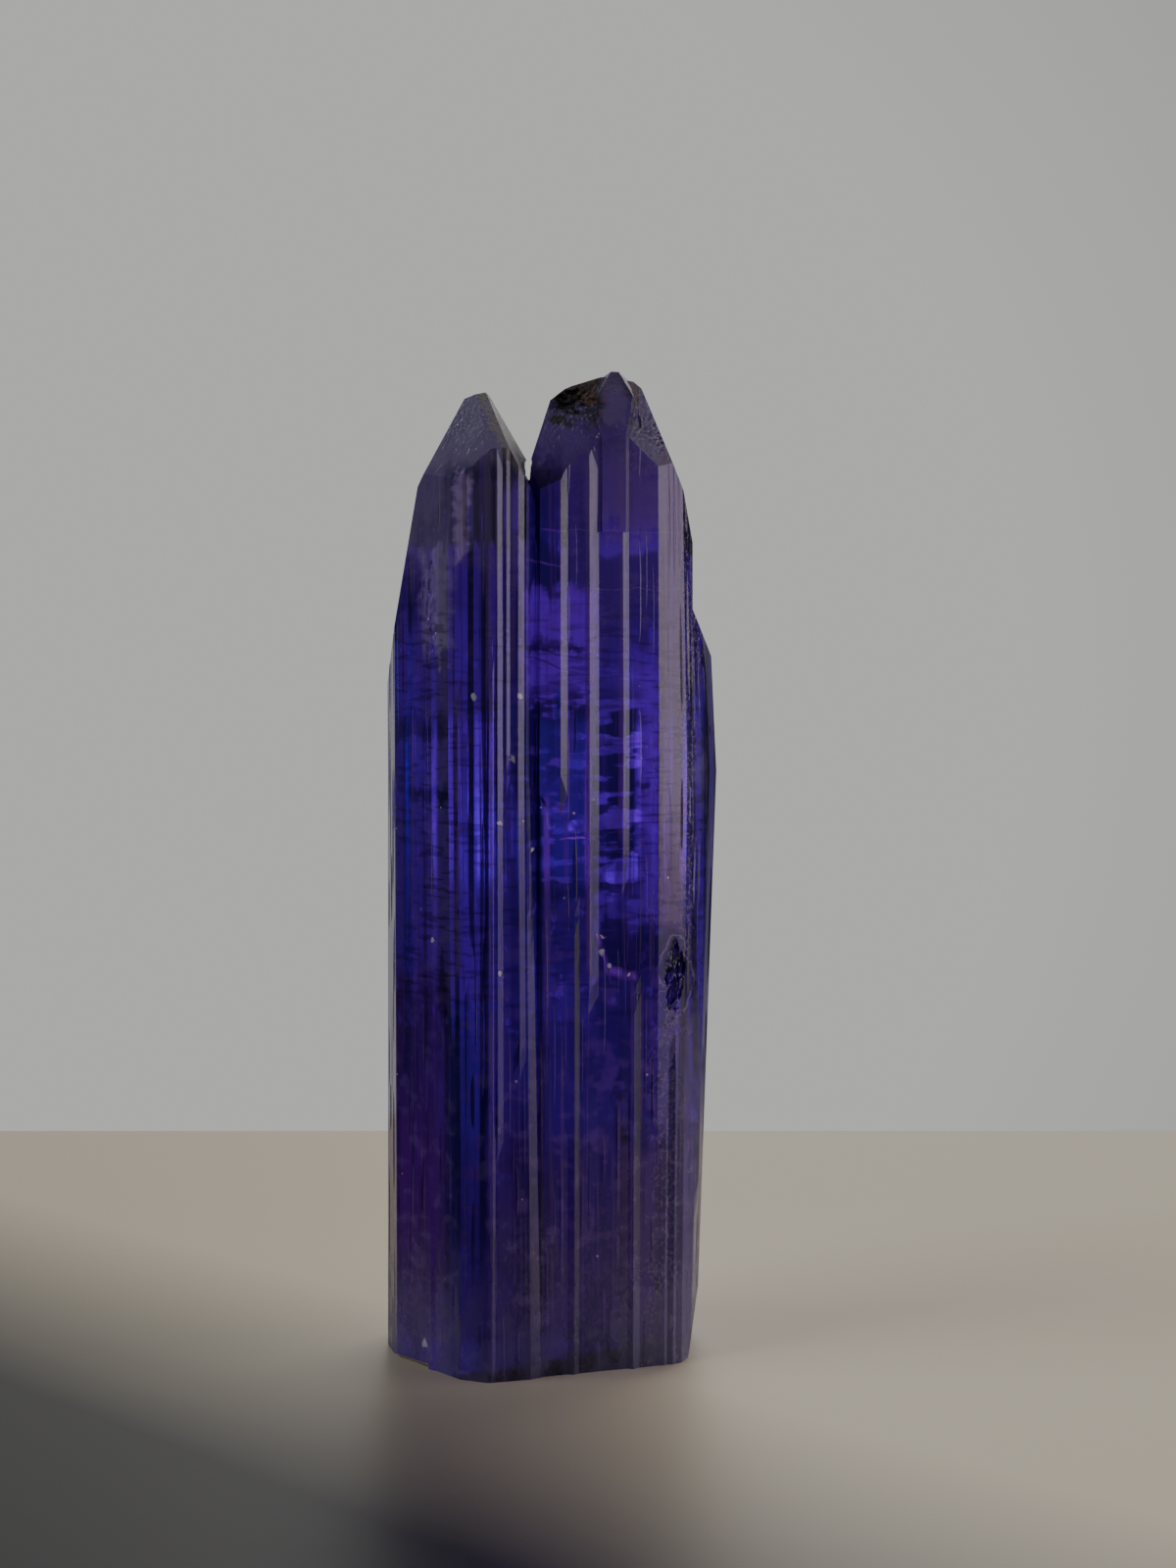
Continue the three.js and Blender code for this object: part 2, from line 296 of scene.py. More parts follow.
class GrowthTree:
    """A Geometry Nodes tree under construction."""

    def __init__(self, name, sizes):
        self.group = bpy.data.node_groups.new(name, "GeometryNodeTree")
        self.group.is_modifier = True
        face = self.group.interface
        face.new_socket("Geometry", in_out="INPUT", socket_type="NodeSocketGeometry")
        face.new_socket("Geometry", in_out="OUTPUT", socket_type="NodeSocketGeometry")
        for size in sizes:
            face.new_socket(size, in_out="INPUT", socket_type="NodeSocketFloat")
        face.new_socket("Seed", in_out="INPUT", socket_type="NodeSocketInt")
        self.inputs = self.group.nodes.new("NodeGroupInput").outputs

    def add(self, kind, links=(), **settings):
        node = self.group.nodes.new(kind)
        for name, value in settings.items():
            setattr(node, name, value)
        for socket, value in dict(links).items():
            if isinstance(value, bpy.types.NodeSocket):
                self.group.links.new(value, node.inputs[socket])
            else:
                node.inputs[socket].default_value = value
        return node

    def maths(self, operation, first, second):
        return self.add("ShaderNodeMath", {0: first, 1: second}, operation=operation).outputs[0]

    def random(self, low, high, identity, salt):
        seed = self.maths("ADD", self.inputs["Seed"], salt)
        links = {2: low, 3: high, "ID": identity, "Seed": seed}
        return self.add("FunctionNodeRandomValue", links, data_type="FLOAT").outputs[1]

    def finish(self, geometry, material):
        """Ends the tree with plain geometry and its material."""
        real = self.add("GeometryNodeRealizeInstances", {"Geometry": geometry})
        made = self.add("GeometryNodeSetMaterial", {"Geometry": real.outputs[0], "Material": material})
        self.add("NodeGroupOutput", {"Geometry": made.outputs[0]})
        return self.group


def grow(shape, tree, values):
    """Runs the tree on the object with these input values, and leaves a plain mesh."""
    growth = shape.modifiers.new("growth", "NODES")
    growth.node_group = tree
    for item in tree.interface.items_tree:
        if item.item_type == "SOCKET" and item.in_out == "INPUT" and item.name in values:
            growth[item.identifier] = values[item.name]
    result = settled_mesh(shape)
    shape.modifiers.remove(growth)
    shape.data = result


def rib_blank():
    """A unit rib: a low wedge with one steep side, tapered at both ends, as long as it is wide."""
    section = [(-0.5, 0.6), (0.5, 0.6), (0.5, 0.0), (0.28, -1.0), (-0.5, 0.0)]
    rings = [(-0.5, 0.05), (-0.4, 0.7), (-0.22, 1.0), (0.2, 1.0), (0.42, 0.6), (0.5, 0.05)]
    points = [(x * size, y * size, z) for z, size in rings for x, y in section]
    side = len(section)
    faces = [tuple(range(side))]
    for k in range(len(rings) - 1):
        for i in range(side):
            a, b = k * side + i, k * side + (i + 1) % side
            faces.append((a, b, b + side, a + side))
    faces.append(tuple(reversed(range((len(rings) - 1) * side, len(rings) * side))))
    return mesh_of(points, faces)


RIB_SHIFT = 4.0
FACE_STRIDE = 100.0


def rib_tree(blank, material):
    """Sets ribs side by side along each line of the input mesh, each leaning with its face."""
    tree = GrowthTree("growth ribs", ["Spacing", "Width", "Height", "Length", "Share"])
    sizes = tree.inputs
    lines = tree.add("GeometryNodeMeshToCurve", {"Mesh": sizes["Geometry"]})
    links = {"Curve": lines.outputs[0], "Length": sizes["Spacing"]}
    row = tree.add("GeometryNodeResampleCurve", links, mode="LENGTH")
    column = tree.add("GeometryNodeSplineParameter").outputs["Index"]
    face = tree.add("GeometryNodeInputNamedAttribute", {"Name": "face"}, data_type="FLOAT").outputs[0]
    upward = tree.add("GeometryNodeInputNamedAttribute", {"Name": "upward"}, data_type="FLOAT_VECTOR")
    place = tree.maths("ADD", tree.maths("MULTIPLY", face, FACE_STRIDE), column)
    index = tree.add("GeometryNodeInputIndex").outputs[0]
    tangent = tree.add("GeometryNodeInputTangent").outputs[0]
    shift = tree.random(-RIB_SHIFT, RIB_SHIFT, place, 1)
    lift = tree.add("ShaderNodeVectorMath", {0: upward.outputs[0], "Scale": shift}, operation="SCALE")
    moved = tree.add("GeometryNodeSetPosition", {"Geometry": row.outputs[0], "Offset": lift.outputs[0]})
    stand = tree.add("FunctionNodeAlignRotationToVector", {"Vector": upward.outputs[0]}, axis="Z")
    turn = {"Rotation": stand.outputs[0], "Vector": tangent}
    turned = tree.add("FunctionNodeAlignRotationToVector", turn, axis="X", pivot_axis="Z")
    width = tree.maths("MULTIPLY", sizes["Width"], tree.random(0.3, 1.0, place, 2))
    height = tree.maths("MULTIPLY", sizes["Height"], tree.random(0.3, 1.0, index, 3))
    length = tree.maths("MULTIPLY", sizes["Length"], tree.random(0.35, 1.0, index, 4))
    scale = tree.add("ShaderNodeCombineXYZ", {"X": width, "Y": height, "Z": length})
    kept = tree.maths("LESS_THAN", tree.random(0.0, 1.0, index, 5), sizes["Share"])
    rib = tree.add("GeometryNodeObjectInfo", {"Object": blank})
    links = {
        "Points": moved.outputs[0],
        "Selection": kept,
        "Instance": rib.outputs["Geometry"],
        "Rotation": turned.outputs[0],
        "Scale": scale.outputs[0],
    }
    ribs = tree.add("GeometryNodeInstanceOnPoints", links)
    return tree.finish(ribs.outputs[0], material)


RIB_ROWS = [4.0, 12.0, 20.0, 28.0, 36.0, 44.0]
ROW_REACH = 4.0
RIB_MARGIN = 0.3


def rib_lines(name, corners):
    """A level line across each face at each row's height, from just inside its edges."""
    points, edges, upwards, numbers = [], [], [], []
    count = len(corners)
    for number in range(count):
        for z in RIB_ROWS:
            ends = [corners[number], corners[(number + 1) % count]]
            low = [Vector((*corner_at(end, z - ROW_REACH), z - ROW_REACH)) for end in ends]
            high = [Vector((*corner_at(end, z + ROW_REACH), z + ROW_REACH)) for end in ends]
            at = [(a + b) / 2 for a, b in zip(low, high)]
            inward = (at[1] - at[0]).normalized() * RIB_MARGIN
            if (at[1] - at[0]).length < 3 * RIB_MARGIN:
                continue
            edges.append((len(points), len(points) + 1))
            points += [at[0] + inward, at[1] - inward]
            upwards += [(b - a).normalized() for a, b in zip(low, high)]
            numbers += [float(number)] * 2
    mesh = bpy.data.meshes.new(name)
    mesh.from_pydata(points, edges, [])
    lean = mesh.attributes.new("upward", "FLOAT_VECTOR", "POINT")
    lean.data.foreach_set("vector", [part for upward in upwards for part in upward])
    face = mesh.attributes.new("face", "FLOAT", "POINT")
    face.data.foreach_set("value", numbers)
    return placed(name, mesh)


# Assembly

def outside_all(faces):
    """The space outside every one of these faces."""
    first, *rest = [outside(face) for face in faces]
    for block in rest:
        combine(first, block, "INTERSECT")
    return first


UNDERSIDE = (0, 180, (0, 0, 0))
RIB_SIZES = {"Spacing": 0.36, "Width": 0.34, "Height": 0.032, "Length": 7.4, "Share": 0.75}


def grown_prism(name, corners, steps, tree, seed, faces):
    body = prism(name, corners, steps)
    ribs = rib_lines(f"{name} ribs", corners)
    grow(ribs, tree, {**RIB_SIZES, "Seed": seed})
    combine(body, ribs, "UNION")
    cut_by(body, faces + [UNDERSIDE])
    return body


def crystal_piece():
    blank = placed("rib blank", rib_blank())
    tree = rib_tree(blank, tanzanite)
    crystal = grown_prism("left prism", LEFT_CORNERS, LEFT_STEPS, tree, 3, LEFT_TIP)
    right = grown_prism("right prism", RIGHT_CORNERS, RIGHT_STEPS, tree, 8, RIGHT_TIP)
    combine(crystal, right, "UNION")
    for faces in LEDGES:
        combine(crystal, outside_all(faces), "DIFFERENCE")
    for number, (at, half, turn) in enumerate(SCOOPS):
        combine(crystal, lump(at, half, turn, seed=number), "DIFFERENCE")
    rib = prism("tip rib", RIB_CORNERS, {}, lowest=42.0)
    cut_by(rib, RIB_TIP)
    combine(crystal, rib, "UNION")
    bpy.data.objects.remove(blank)
    crystal.name = "crystal"
    crystal.data.transform(Matrix.Diagonal((MM, MM, MM, 1)) @ Matrix.Translation(CENTRING))
    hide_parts("tanzanite_crystal")
    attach(crystal, "root")
    return crystal


# The crystal's finish

REFRACTION = 1.694
DEPTH_COLOUR = (0.66, 0.0, 0.86, 1.0)
DEPTH_DENSITY = 300.0
SMOOTHNESS = 0.13
SOILED_ROUGHNESS = 0.45
BODY_CLEARNESS = 0.86
REAR_CLEARNESS = 0.95

NAVY = (0.014, 0.001, 0.09)
INDIGO = (0.07, 0.002, 0.34)
CLEAR_VIOLET = (0.32, 0.01, 1.0)
# The violet of the painted flecks of light coming through
GLOW_FLECK_VIOLET = (0.3, 0.02, 1.0)
DARK_DASH = (0.005, 0.0, 0.025)
DARK_WISP = (0.005, 0.0, 0.04)
DARK_CRACK = (0.003, 0.0, 0.02)
LIGHT_CRACK = (0.5, 0.44, 0.62)
RIM_WHITE = (0.4, 0.33, 0.5)
VEIL_GREY = (0.26, 0.2, 0.46)
# The pale grey of the painted window reflections
REFLECTION_GREY = (0.27, 0.19, 0.36)
SAND_GREY = (0.4, 0.34, 0.46)
HAZE_GREY = (0.17, 0.13, 0.36)
CRUMB_GREY = (0.27, 0.26, 0.23)
# The colour of the painted glints
GLINT_WHITE = (0.95, 0.88, 1.0)
SPECK_WHITE = (0.75, 0.68, 0.7)
SOIL_BLACK = (0.014, 0.01, 0.01)
RUST_BROWN = (0.13, 0.065, 0.03)


class Finish:
    """A material's node tree under construction, with its colour and clearness so far."""

    def __init__(self, name):
        self.material = bpy.data.materials.new(name)
        self.material.use_nodes = True
        self.nodes = self.material.node_tree.nodes
        self.links = self.material.node_tree.links
        self.nodes.clear()
        self.colour = None
        self.clear = None
        links = {0: self.add("ShaderNodeTexCoord").outputs["Object"], "Scale": 1 / MM}
        self.place = self.add("ShaderNodeVectorMath", links, operation="SCALE").outputs[0]
        self.x, self.y, self.z = self.add("ShaderNodeSeparateXYZ", {0: self.place}).outputs

    def add(self, kind, links=(), **settings):
        node = self.nodes.new(kind)
        for name, value in settings.items():
            setattr(node, name, value)
        for socket, value in dict(links).items():
            if isinstance(value, bpy.types.NodeSocket):
                self.links.new(value, node.inputs[socket])
            else:
                node.inputs[socket].default_value = value
        return node

    def maths(self, operation, first, second):
        return self.add("ShaderNodeMath", {0: first, 1: second}, operation=operation).outputs[0]

    def shifted(self, value, amount, times):
        """The value plus so many times the amount."""
        links = {0: amount, 1: times, 2: value}
        return self.add("ShaderNodeMath", links, operation="MULTIPLY_ADD").outputs[0]

    def rise(self, value, low, high, most=1.0):
        """0 below low, most above high and smooth between; falls instead where low is the greater."""
        links = {"Value": value, "From Min": low, "From Max": high, "To Max": most}
        return self.add("ShaderNodeMapRange", links, interpolation_type="SMOOTHSTEP").outputs[0]

    def band(self, value, low, high, soft, most=1.0):
        """The share most from low to high with soft edges, and 0 outside."""
        above = self.rise(value, low - soft / 2, low + soft / 2, most)
        return self.rise(value, high + soft / 2, high - soft / 2, above)

    def times(self, first, *others):
        for other in others:
            first = self.maths("MULTIPLY", first, other)
        return first

    def most(self, first, *others):
        for other in others:
            first = self.maths("MAXIMUM", first, other)
        return first

    def grain(self, scale, detail, offset=0.0):
        """Noise in 0 to 1, stretched by a scale for each axis."""
        links = {"Vector": self.place, "Scale": scale, "Location": (offset, offset * 2, offset * 3)}
        stretched = self.add("ShaderNodeMapping", links).outputs[0]
        links = {"Vector": stretched, "Scale": 1.0, "Detail": detail}
        return self.add("ShaderNodeTexNoise", links).outputs["Fac"]

    def level(self, share, first, second):
        """The first value where share is 0, and the second where it is 1."""
        links = {0: share, 2: first, 3: second}
        return self.add("ShaderNodeMix", links, data_type="FLOAT").outputs[0]

    def blend(self, share, first, second):
        """The first colour where share is 0, and the second where it is 1."""
        ends = [end if isinstance(end, bpy.types.NodeSocket) else (*end, 1.0) for end in (first, second)]
        links = {0: share, 6: ends[0], 7: ends[1]}
        return self.add("ShaderNodeMix", links, data_type="RGBA").outputs[2]

    def lay(self, share, tint, clearness=None):
        """Lays a tint over the colour so far, and a clearness too where one is given."""
        self.colour = self.blend(share, self.colour, tint)
        if clearness is not None:
            self.clear = self.level(share, self.clear, clearness)


class CrystalFinish(Finish):
    """A finish with the uneven places and the broken lines that the crystal's markings share."""

    def __init__(self, name):
        super().__init__(name)
        wander = self.grain((0.3, 0.3, 0.12), 2.0)
        self.streak_x = self.shifted(self.maths("SUBTRACT", self.x, 0.15), wander, 0.3)
        self.ragged = self.maths("SUBTRACT", self.grain((0.8, 0.8, 1.6), 4.0, 5.0), 0.5)
        stepped = self.maths("SUBTRACT", self.grain((2.2, 2.2, 0.1), 3.0, 15.0), 0.5)
        wobble = self.shifted(self.maths("MULTIPLY", stepped, 2.6), self.ragged, -1.8)
        self.uneven_x = self.shifted(self.x, self.ragged, 1.2)
        self.fine_height = self.shifted(self.z, wobble, 0.6)
        self.coarse_height = self.shifted(self.z, wobble, 2.0)
        self.broken = self.rise(self.grain((2.5, 2.5, 0.5), 3.0, 7.0), 0.25, 0.5)


# Painted reflections of the right-hand window, as pale streaks on the front: middle, width, lowest and
# highest level, strength
WINDOW_REFLECTION_STREAKS = [
    (-6.9, 0.1, 22, 32.5, 0.5),
    (-4.95, 0.22, 42, 45.6, 0.8),
    (-4.45, 0.24, 20.5, 34.5, 0.5),
    (-5.25, 0.5, 30, 45, 0.3),
    (-2.97, 0.3, 34, 45.6, 0.6),
    (-2.5, 0.22, 38, 45.3, 0.4),
    (-1.78, 0.22, 35, 45.0, 0.5),
    (-1.28, 0.16, 33, 44.6, 0.5),
    (-2.86, 0.1, 0, 34.5, 0.9),
    (-0.13, 0.26, 17, 28.5, 0.5),
    (-0.37, 0.1, 0, 17, 0.6),
    (0.74, 0.36, 31, 44.3, 0.5),
    (0.66, 0.1, 3, 16, 0.5),
    (-4.6, 0.16, -2, 5, 0.6),
    (-0.7, 0.3, -2, 8, 0.3),
    (0.1, 0.12, 4, 10, 0.5),
    (1.2, 0.5, -2, 7, 0.25),
    (4.55, 0.12, 12, 19, 0.6),
    (2.04, 0.5, 31, 45.2, 0.55),
    (1.95, 0.3, 20, 31, 0.7),
    (3.62, 0.32, 27, 46.7, 0.5),
    (3.44, 0.12, 5, 13.5, 0.8),
    (4.1, 0.12, 4, 19.5, 0.8),
    (6.05, 1.25, 22.4, 46.4, 0.5),
]
# Patches of colour on the front, partly the crystal's own grey veils and partly painted light: the bright
# violet and blue ones are a painted glow of light coming through, the dark navy ones are painted shade,
# and the pale one on the right prism's broad band is a painted reflection of the window. Columns: left
# and right, lowest and highest level, softness, colour, how see-through it is, and strength
VEILS_AND_PAINTED_LIGHT = [
    ((-8.8, -3.2), (18, 37), 3.0, (0.14, 0.0, 0.6), 0.86, 0.9),
    ((-7.6, -5.8), (29.5, 32.5), 1.8, (0.2, 0.01, 1.0), 0.92, 0.9),
    ((-4.4, -2.6), (24, 29), 1.8, (0.2, 0.01, 1.0), 0.92, 0.9),
    ((-4.4, -2.0), (30, 40), 2.0, (0.12, 0.0, 0.4), 0.88, 0.6),
    ((-6.2, -4.5), (-2, 42), 0.7, (0.17, 0.06, 0.58), 0.4, 0.8),
    ((-2.6, -1.9), (6, 40), 0.4, (0.09, 0.04, 0.3), 0.45, 0.6),
    ((-8.8, -4.9), (3, 20), 2.0, (0.08, 0.001, 0.16), 0.8, 0.95),
    ((-5.0, -3.4), (0, 19), 0.8, (0.06, 0.002, 0.46), 0.74, 0.9),
    ((-8.6, -1.3), (40, 45.5), 3.0, (0.3, 0.22, 0.56), 0.4, 0.8),
    ((-8.6, -5.2), (42, 46), 3.0, (0.5, 0.38, 0.75), 0.3, 0.6),
    ((-7.0, -1.4), (45.2, 49.6), 0.8, (0.42, 0.35, 0.58), 0.25, 0.85),
    ((-4.6, -3.9), (40.5, 44.9), 0.4, (0.75, 0.55, 1.0), 0.2, 1.0),
    ((-6.4, -4.9), (36.4, 41.2), 1.4, (0.65, 0.58, 0.85), 0.25, 0.7),
    ((0.6, 5.6), (37, 46), 3.0, (0.1, 0.05, 0.3), 0.4, 0.9),
    ((-0.8, 5.6), (45, 49.5), 1.0, (0.16, 0.12, 0.3), 0.35, 0.85),
    ((1.8, 5.6), (41.8, 45.5), 1.2, (0.22, 0.15, 0.42), 0.3, 0.8),
    ((2.45, 3.8), (47.4, 50.2), 0.3, (0.36, 0.29, 0.42), 0.2, 0.9),
    ((-1.1, 2.2), (33.2, 39.2), 0.9, (0.4, 0.0, 1.0), 0.94, 1.0),
    ((2.2, 5.5), (22.5, 36), 1.6, (0.16, 0.0, 0.6), 0.92, 0.95),
    ((3.6, 5.3), (27, 35), 0.9, (0.32, 0.0, 1.0), 0.94, 0.95),
    ((-1.1, 2.4), (20, 33), 1.6, (0.016, 0.001, 0.11), 0.88, 0.8),
    ((-1.6, 7.2), (-3, 18), 3.0, (0.016, 0.001, 0.09), 0.86, 0.7),
    ((5.5, 6.7), (22.4, 46.4), 0.4, (0.42, 0.28, 0.4), 0.3, 0.55),
    ((6.9, 9.0), (3, 34), 0.5, (0.07, 0.001, 0.42), 0.86, 1.0),
    ((3.7, 5.6), (4.8, 11.2), 1.0, (0.18, 0.14, 0.3), 0.4, 0.6),
    ((5.5, 7.2), (-3, 18), 0.8, (0.15, 0.08, 0.42), 0.4, 0.75),
    ((3.2, 7.2), (-3, 4.5), 2.0, (0.26, 0.22, 0.48), 0.3, 0.6),
    ((-8.6, -5.0), (-3, 4.0), 2.0, (0.2, 0.13, 0.46), 0.4, 0.5),
]
# Dark zones inside, over the veils, given in the same way
SHADOWS = [
    ((-1.1, 0.65), (38.6, 45.4), 1.6, (0.006, 0.0, 0.05), 0.92, 1.0),
    ((-1.1, 1.6), (36.0, 36.6), 0.4, (0.003, 0.0, 0.02), 0.92, 0.9),
    ((-1.1, 2.0), (28.9, 30.1), 0.5, (0.004, 0.0, 0.03), 0.92, 0.9),
    ((2.2, 5.0), (29.1, 29.6), 0.3, (0.004, 0.0, 0.03), 0.92, 0.9),
    ((-0.8, 3.0), (26.0, 26.5), 0.4, (0.004, 0.0, 0.03), 0.92, 0.8),
    ((2.4, 7.2), (20.0, 22.4), 0.7, (0.004, 0.0, 0.03), 0.92, 0.9),
    ((-4.7, -3.6), (6, 18), 1.5, (0.012, 0.0, 0.12), 0.9, 0.6),
    ((-8.0, -5.0), (31.6, 32.8), 0.6, (0.008, 0.0, 0.05), 0.92, 0.7),
    ((-7.2, -4.8), (28.6, 29.3), 0.5, (0.006, 0.0, 0.04), 0.92, 0.8),
    ((-1.0, 2.6), (27.3, 28.0), 0.6, (0.004, 0.0, 0.03), 0.92, 0.8),
    ((0.2, 2.4), (31.3, 31.9), 0.4, (0.004, 0.0, 0.03), 0.92, 0.8),
]
# Speckled strips on the front: left and right, lowest and highest level, strength
GRAINY = [
    ((6.65, 7.3), (20, 46), 0.7),
    ((4.9, 6.4), (-2, 17), 0.45),
    ((-8.4, -5.2), (-2, 7), 0.3),
    ((-2.6, 4.4), (-2, 8), 0.25),
    ((3.8, 7.2), (-3, 5), 0.45),
    ((3.6, 5.6), (45, 48), 0.6),
    ((7.3, 8.0), (35.4, 37.6), 1.0),
]
# Cracks across the front: ends, level at the left end, slope, width, whether light, strength
CRACKS = [
    ((-1.1, 0.6), 40.5, -0.17, 0.07, True, 0.7),
    ((0.6, 6.6), 39.1, 0.02, 0.06, True, 0.35),
    ((-0.4, 6.6), 42.0, 0.0, 0.05, True, 0.3),
    ((-1.1, 1.5), 36.3, -0.19, 0.08, False, 0.9),
    ((-1.2, 1.5), 35.9, -0.35, 0.07, False, 0.9),
    ((0.6, 2.0), 26.8, 0.0, 0.08, True, 0.6),
    ((2.3, 2.95), 22.3, -3.2, 0.6, True, 1.0),
    ((2.8, 4.3), 20.3, -0.3, 0.3, True, 1.0),
]
# The shorter tip's face towards the notch, by its place in the list
NOTCH_FACE = 5
# Painted glints on the front: across, level, radius
PAINTED_GLINTS = [
    (-3.64, 33.9, 0.15),
    (-3.45, 33.2, 0.11),
    (-1.47, 33.9, 0.11),
    (-1.86, 30.8, 0.15),
    (-2.44, 27.7, 0.14),
    (-0.85, 26.3, 0.09),
    (-5.86, 21.7, 0.12),
    (-2.39, 20.3, 0.17),
    (2.55, 22.0, 0.15),
    (2.62, 21.2, 0.18),
    (2.95, 20.4, 0.15),
    (4.0, 19.95, 0.11),
    (-6.3, 1.25, 0.19),
]
# Bright broken rims: middle across, middle level, half width, half height, strength
RIMS = [
    (6.35, 19.7, 0.85, 2.0, 0.75),
    (6.2, 17.9, 0.5, 0.5, 0.5),
    (3.3, 26.6, 1.3, 0.35, 0.35),
]


def inner_cloud(make):
    """Navy and indigo clouds inside the front."""
    cloud = make.grain((0.45, 0.45, 0.16), 3.0, 3.0)
    make.colour = make.blend(make.rise(cloud, 0.38, 0.62), NAVY, INDIGO)
    make.clear = BODY_CLEARNESS


def rear_coat(make):
    """The colour and clearness of the back, where light comes in."""
    rear = make.rise(make.y, 0.0, 2.0)
    return make.blend(rear, make.colour, CLEAR_VIOLET), make.level(rear, make.clear, REAR_CLEARNESS)


def lay_patches(make, patches):
    for sides, levels, soft, tint, clearness, weight in patches:
        height = make.coarse_height if soft > 1.0 else make.fine_height
        across = make.band(make.uneven_x, *sides, min(soft, 0.7), weight)
        make.lay(make.band(height, *levels, soft, across), tint, clearness)


def lay_veils(make):
    """Mottled veils, denser towards the base."""
    density = make.maths("ADD", make.rise(make.z, 21.0, 9.0, 0.25), 0.3)
    make.lay(make.rise(make.grain((1.1, 1.1, 1.4), 5.0, 21.0), 0.5, 0.66, density), VEIL_GREY, 0.35)


def lay_flecks(make):
    """Painted flecks of light coming through, and level dashes and wisps of dark, across the middle."""
    middle = make.band(make.z, 17, 38, 4.0, 0.6)
    # Painted glow: bright flecks of light coming through
    make.lay(make.rise(make.grain((1.6, 1.6, 1.0), 3.0, 41.0), 0.6, 0.7, middle), GLOW_FLECK_VIOLET)
    make.lay(make.rise(make.grain((0.6, 0.6, 3.6), 4.0, 9.0), 0.52, 0.62, middle), DARK_DASH)
    wisps = make.rise(make.grain((0.45, 0.45, 1.5), 5.0, 61.0), 0.44, 0.51)
    wisps = make.band(make.x, -1.3, 4.6, 1.0, make.band(make.z, 23.5, 34.5, 3.0, wisps))
    make.lay(wisps, DARK_WISP, 0.85)


def lay_cracks(make):
    for ends, level, slope, width, light, weight in CRACKS:
        height = make.shifted(make.shifted(make.z, make.x, -slope), make.ragged, 0.6)
        middle = level - slope * ends[0]
        share = make.band(height, middle - width / 2, middle + width / 2, width, make.broken)
        share = make.times(make.band(make.x, *ends, 0.3, share), weight)
        make.lay(share, LIGHT_CRACK if light else DARK_CRACK)


def lay_rims(make):
    height = make.shifted(make.z, make.ragged, 2.4)
    flat = make.add("ShaderNodeCombineXYZ", {0: make.uneven_x, 2: height}).outputs[0]
    for across, level, half_width, half_height, weight in RIMS:
        shrink = (1 / half_width, 0.0, 1 / half_height)
        links = {0: flat, 1: shrink, 2: (-across / half_width, 0.0, -level / half_height)}
        around = make.add("ShaderNodeVectorMath", links, operation="MULTIPLY_ADD").outputs[0]
        reach = make.add("ShaderNodeVectorMath", {0: around}, operation="LENGTH").outputs["Value"]
        make.lay(make.times(make.band(reach, 0.97, 1.07, 0.1, make.broken), weight), RIM_WHITE, 0.3)


def lay_reflection_streaks(make, silk):
    """Painted reflections of the window, as pale streaks along the prisms, with the silk between them."""
    streaks = 0.0
    for across, width, low, high, weight in WINDOW_REFLECTION_STREAKS:
        line = make.band(make.streak_x, across - width / 2, across + width / 2, min(0.12, width), weight)
        streaks = make.most(make.band(make.z, low, high, 1.6, line), streaks)
    make.lay(make.most(make.times(streaks, make.broken), make.times(silk, 0.25)), REFLECTION_GREY, 0.25)


def lay_sand(make):
    """Speckled strips where the surface is rough."""
    sand = make.rise(make.grain((5.5, 5.5, 4.5), 3.0, 51.0), 0.5, 0.62)
    for sides, levels, weight in GRAINY:
        share = make.band(make.z, *levels, 3.0, make.band(make.uneven_x, *sides, 0.6, sand))
        make.lay(make.times(share, weight), SAND_GREY, 0.2)


def lay_painted_glints(make):
    """Painted glints: small bright spots at their own places, with an uneven outline."""
    flat = make.add("ShaderNodeCombineXYZ", {0: make.x, 2: make.z}).outputs[0]
    within = -1.0
    for across, level, radius in PAINTED_GLINTS:
        links = {0: flat, 1: (across, 0.0, level)}
        away = make.add("ShaderNodeVectorMath", links, operation="DISTANCE").outputs["Value"]
        within = make.most(make.maths("SUBTRACT", radius, away), within)
    uneven = make.shifted(within, make.grain((3.2, 3.2, 1.8), 3.0, 71.0), -0.9)
    make.lay(make.rise(uneven, -0.45, -0.38), GLINT_WHITE, 0.1)


def lay_specks(make):
    """Fine white specks all over."""
    spots = make.add("ShaderNodeTexVoronoi", {"Vector": make.place, "Scale": 0.8}).outputs
    chosen = make.add("ShaderNodeSeparateXYZ", {0: spots["Color"]}).outputs[0]
    away = make.shifted(spots["Distance"], make.ragged, 0.1)
    make.lay(make.rise(away, 0.06, 0.03, make.rise(chosen, 0.55, 0.6)), SPECK_WHITE, 0.1)


def lay_haze(make):
    """Greyish haze at the tips and at the base."""
    ends = make.most(make.rise(make.z, 43.0, 48.0), make.rise(make.z, 9.0, 1.0))
    haze = make.rise(make.grain((1.0, 1.0, 0.5), 4.0), 0.25, 0.65, make.times(ends, 0.65))
    make.lay(haze, HAZE_GREY, 0.4)
    return haze


def lay_crumb(make):
    """The crumbly edge beside the notch on the shorter tip."""
    bearing, dip, through = LEFT_TIP[NOTCH_FACE]
    normal = facing(bearing, dip)
    links = {0: make.place, 1: tuple(normal)}
    along = make.add("ShaderNodeVectorMath", links, operation="DOT_PRODUCT").outputs["Value"]
    off_face = make.maths("SUBTRACT", along, normal.dot(Vector(through) + CENTRING))
    crumb = make.times(
        make.rise(make.shifted(off_face, make.ragged, 0.9), -0.53, -0.29),
        make.rise(make.x, -0.85, -1.05),
        make.rise(make.z, 44.4, 45.2),
        make.rise(make.grain((3, 3, 3), 3.0), 0.25, 0.55),
    )
    make.lay(crumb, CRUMB_GREY, 0.2)
    return crumb


